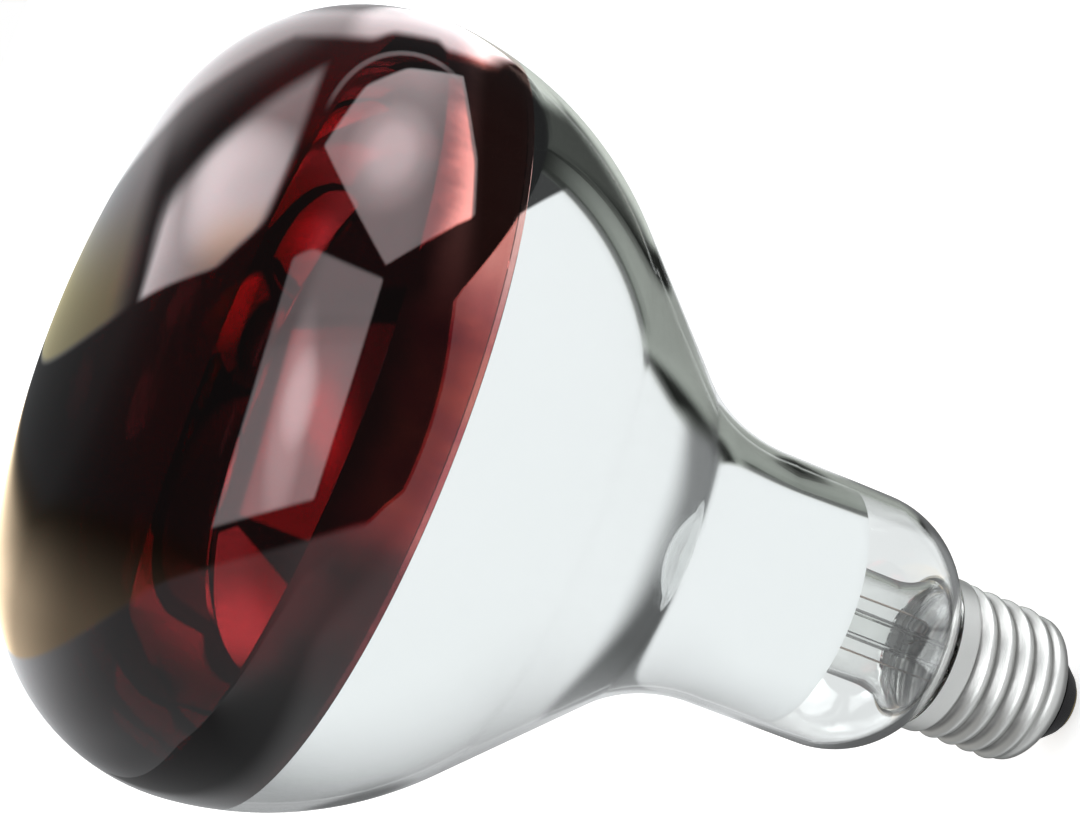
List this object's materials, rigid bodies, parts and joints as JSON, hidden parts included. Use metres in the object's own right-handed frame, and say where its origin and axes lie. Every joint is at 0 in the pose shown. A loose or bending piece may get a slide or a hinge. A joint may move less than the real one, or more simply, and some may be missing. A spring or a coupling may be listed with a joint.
{
  "type": "heat lamp",
  "caption": "Infrared reflector heat lamp bulb: ruby glass front, silvered reflector and neck, clear glass shoulder, screw cap.",
  "frame": {"origin": "centre of the flat end of the solder on the centre contact, on the lamp's axis", "axes": "+Z along the lamp's axis from the screw cap to the ruby front; the side solder is on the +Y side"},
  "size_m": [0.125, 0.125, 0.181],
  "materials": {
    "clear_glass": "clear, polished",
    "ruby_glass": "deep ruby, glossy",
    "silver_mirror": "bright silvered",
    "tungsten": "drawn wire",
    "lead_nickel": "drawn wire",
    "lead_copper": "drawn wire",
    "cap_metal": "bright, satin",
    "cap_cement": "matt, grainy",
    "black_glass": "opaque, glossy",
    "contact_brass": "stamped",
    "solder": "dull bright"
  },
  "bodies": {
    "root": {"glass_bulb": "clear_glass", "stem_flare": "clear_glass", "stem_press": "clear_glass", "exhaust_tube": "clear_glass", "support_rod": "clear_glass", "support_button": "clear_glass", "ruby_coating": "ruby_glass", "mirror_film": "silver_mirror", "support_hook_1": "tungsten", "support_hook_2": "tungsten", "support_hook_3": "tungsten", "support_hook_4": "tungsten", "support_hook_5": "tungsten", "filament": "tungsten", "inner_lead_left": "lead_nickel", "inner_lead_right": "lead_nickel", "seal_wire_left": "lead_copper", "seal_wire_right": "lead_copper", "outer_lead_centre": "lead_copper", "outer_lead_side": "lead_copper", "cap_shell": "cap_metal", "cap_cement": "cap_cement", "cap_insulator": "black_glass", "centre_contact": "contact_brass", "centre_solder": "solder", "side_solder": "solder"}
  },
  "joints": []
}
